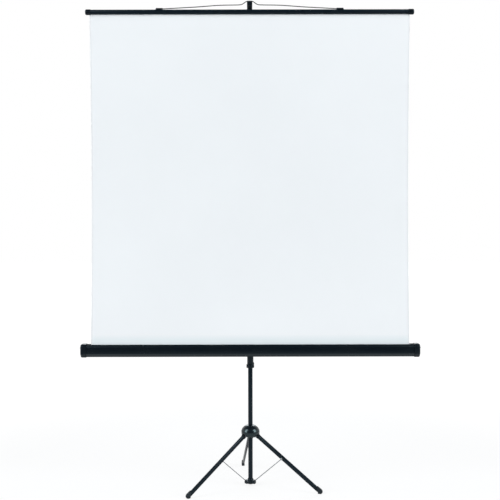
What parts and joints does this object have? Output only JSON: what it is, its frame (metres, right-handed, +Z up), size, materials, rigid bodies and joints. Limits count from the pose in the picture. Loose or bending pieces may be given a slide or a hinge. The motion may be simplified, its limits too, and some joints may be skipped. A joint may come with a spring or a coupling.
{
  "type": "tripod projection screen",
  "caption": "Free-standing pull-up projection screen: a white sheet drawn up from a long black roller case to a hook on a telescopic mast with a folding tripod base.",
  "frame": {"origin": "on the floor, under the middle of the box round the whole object at rest", "axes": "+Z up along the post, +X along the case to the viewer's right, -Y out of the front of the screen"},
  "size_m": [1.92, 0.6974, 2.7586],
  "materials": {
    "black_paint": "satin black powder coat on steel",
    "black_plastic": "fine-textured black moulding",
    "gloss_plastic": "glossy black moulding",
    "rubber": "matte black rubber",
    "zinc": "bright zinc plate",
    "steel": "plain drawn steel",
    "dark_wire": "dark oiled spring wire",
    "matte_white": "matte white coated screen cloth"
  },
  "bodies": {
    "post": {"lower_post": "black_paint", "post_foot_plug": "rubber", "hub_stop_ring": "black_plastic", "post_top_bush": "black_plastic", "base_collar": "black_plastic"},
    "hub": {"hub_dome": "gloss_plastic", "hub_yoke": "black_plastic", "leg_pin_rear": "zinc", "leg_pin_left": "zinc", "leg_pin_right": "zinc"},
    "leg_rear": {"leg_tube_rear": "black_paint", "leg_tang_rear": "black_plastic", "leg_foot_rear": "rubber"},
    "leg_left": {"leg_tube_left": "black_paint", "leg_tang_left": "black_plastic", "leg_foot_left": "rubber"},
    "leg_right": {"leg_tube_right": "black_paint", "leg_tang_right": "black_plastic", "leg_foot_right": "rubber"},
    "strut_rear": {"strut_rear": "zinc", "strut_rivet_rear": "zinc"},
    "strut_left": {"strut_left": "zinc", "strut_rivet_left": "zinc"},
    "strut_right": {"strut_right": "zinc", "strut_rivet_right": "zinc"},
    "slide_bush": {"clamp_bush": "black_plastic"},
    "carriage": {"carriage_tube": "black_paint", "mast_bush": "black_plastic", "carriage_sleeve": "black_plastic", "carry_handle": "black_plastic", "clamp_collar": "black_plastic", "clamp_pin": "black_paint", "mast_collar": "black_plastic", "mast_pin": "black_paint", "case_plate": "black_paint", "pivot_bolt": "steel", "case_shell": "black_paint", "end_cap_left": "black_plastic", "end_cap_right": "black_plastic", "roller_bracket_left": "steel", "roller_bracket_right": "steel", "spring_shaft": "steel", "screen_fabric": "matte_white"},
    "clamp_lever": {"clamp_lever": "black_plastic"},
    "mast_lever": {"mast_lever": "black_plastic"},
    "roller": {"roller_tube": "steel", "roller_plug_left": "black_plastic", "roller_plug_right": "black_plastic", "fabric_roll": "matte_white", "roller_spring": "steel"},
    "mast": {"mast_rod": "black_paint", "mast_rod_foot": "black_plastic", "mast_head": "black_plastic", "top_bar": "black_paint", "bar_cap_left": "black_plastic", "bar_cap_right": "black_plastic", "bail_socket_left": "black_plastic", "bail_socket_right": "black_plastic"},
    "bail": {"bail": "dark_wire"}
  },
  "joints": [
    {"name": "hub_slide", "type": "slide", "parent": "post", "child": "hub", "axis": [0, 0, 1], "range_m": [0, 0.1531]},
    {"name": "leg_fold_rear", "type": "hinge", "parent": "hub", "child": "leg_rear", "pos_m": [-0.00432, -0.04572, 0.29202], "axis": [-0.9942, -0.108, 0], "range_deg": [0, 51.75]},
    {"name": "leg_fold_left", "type": "hinge", "parent": "hub", "child": "leg_left", "pos_m": [-0.03228, -0.10911, 0.29202], "axis": [0.5906, -0.807, 0], "range_deg": [0, 51.75]},
    {"name": "leg_fold_right", "type": "hinge", "parent": "hub", "child": "leg_right", "pos_m": [0.0366, -0.10162, 0.29202], "axis": [0.4035, 0.915, 0], "range_deg": [0, 51.75]},
    {"name": "strut_swing_rear", "type": "hinge", "parent": "post", "child": "strut_rear", "pos_m": [-0.0027, -0.06063, 0.025], "axis": [0.9942, 0.108, 0], "range_deg": [0, 44.91]},
    {"name": "strut_swing_left", "type": "hinge", "parent": "post", "child": "strut_left", "pos_m": [-0.02017, -0.10025, 0.025], "axis": [-0.5906, 0.807, 0], "range_deg": [0, 44.91]},
    {"name": "strut_swing_right", "type": "hinge", "parent": "post", "child": "strut_right", "pos_m": [0.02287, -0.09557, 0.025], "axis": [-0.4035, -0.915, 0], "range_deg": [0, 44.91]},
    {"name": "carriage_lift", "type": "slide", "parent": "post", "child": "slide_bush", "axis": [0, 0, 1], "range_m": [-0.15, 0.38]},
    {"name": "carriage_turn", "type": "hinge", "parent": "slide_bush", "child": "carriage", "pos_m": [0, -0.08548, 0.7], "axis": [0, 0, 1], "continuous": true},
    {"name": "clamp_lever_turn", "type": "hinge", "parent": "carriage", "child": "clamp_lever", "pos_m": [0.01633, -0.06735, 0.6918], "axis": [0, 0, -1], "range_deg": [0, 100]},
    {"name": "mast_lever_turn", "type": "hinge", "parent": "carriage", "child": "mast_lever", "pos_m": [0.01633, -0.06735, 1.7588], "axis": [0, 0, -1], "range_deg": [0, 100]},
    {"name": "mast_slide", "type": "slide", "parent": "carriage", "child": "mast", "axis": [0, 0, 1], "range_m": [-0.94, 0], "deforming": ["screen_fabric"]},
    {"name": "roller_spin", "type": "hinge", "parent": "carriage", "child": "roller", "pos_m": [0, -0.13798, 0.7855], "axis": [1, 0, 0], "range_deg": [0, 3062]},
    {"name": "bail_swing", "type": "hinge", "parent": "mast", "child": "bail", "pos_m": [0, -0.15618, 2.7105], "axis": [1, 0, 0], "range_deg": [0, 100]}
  ],
  "couplings": [
    {"joint": "leg_fold_rear", "follows": "hub_slide", "rad_per_m": 5.8938},
    {"joint": "leg_fold_left", "follows": "hub_slide", "rad_per_m": 5.8938},
    {"joint": "leg_fold_right", "follows": "hub_slide", "rad_per_m": 5.8938},
    {"joint": "strut_swing_rear", "follows": "hub_slide", "rad_per_m": 5.114},
    {"joint": "strut_swing_left", "follows": "hub_slide", "rad_per_m": 5.114},
    {"joint": "strut_swing_right", "follows": "hub_slide", "rad_per_m": 5.114},
    {"joint": "roller_spin", "follows": "mast_slide", "rad_per_m": -56.818}
  ]
}
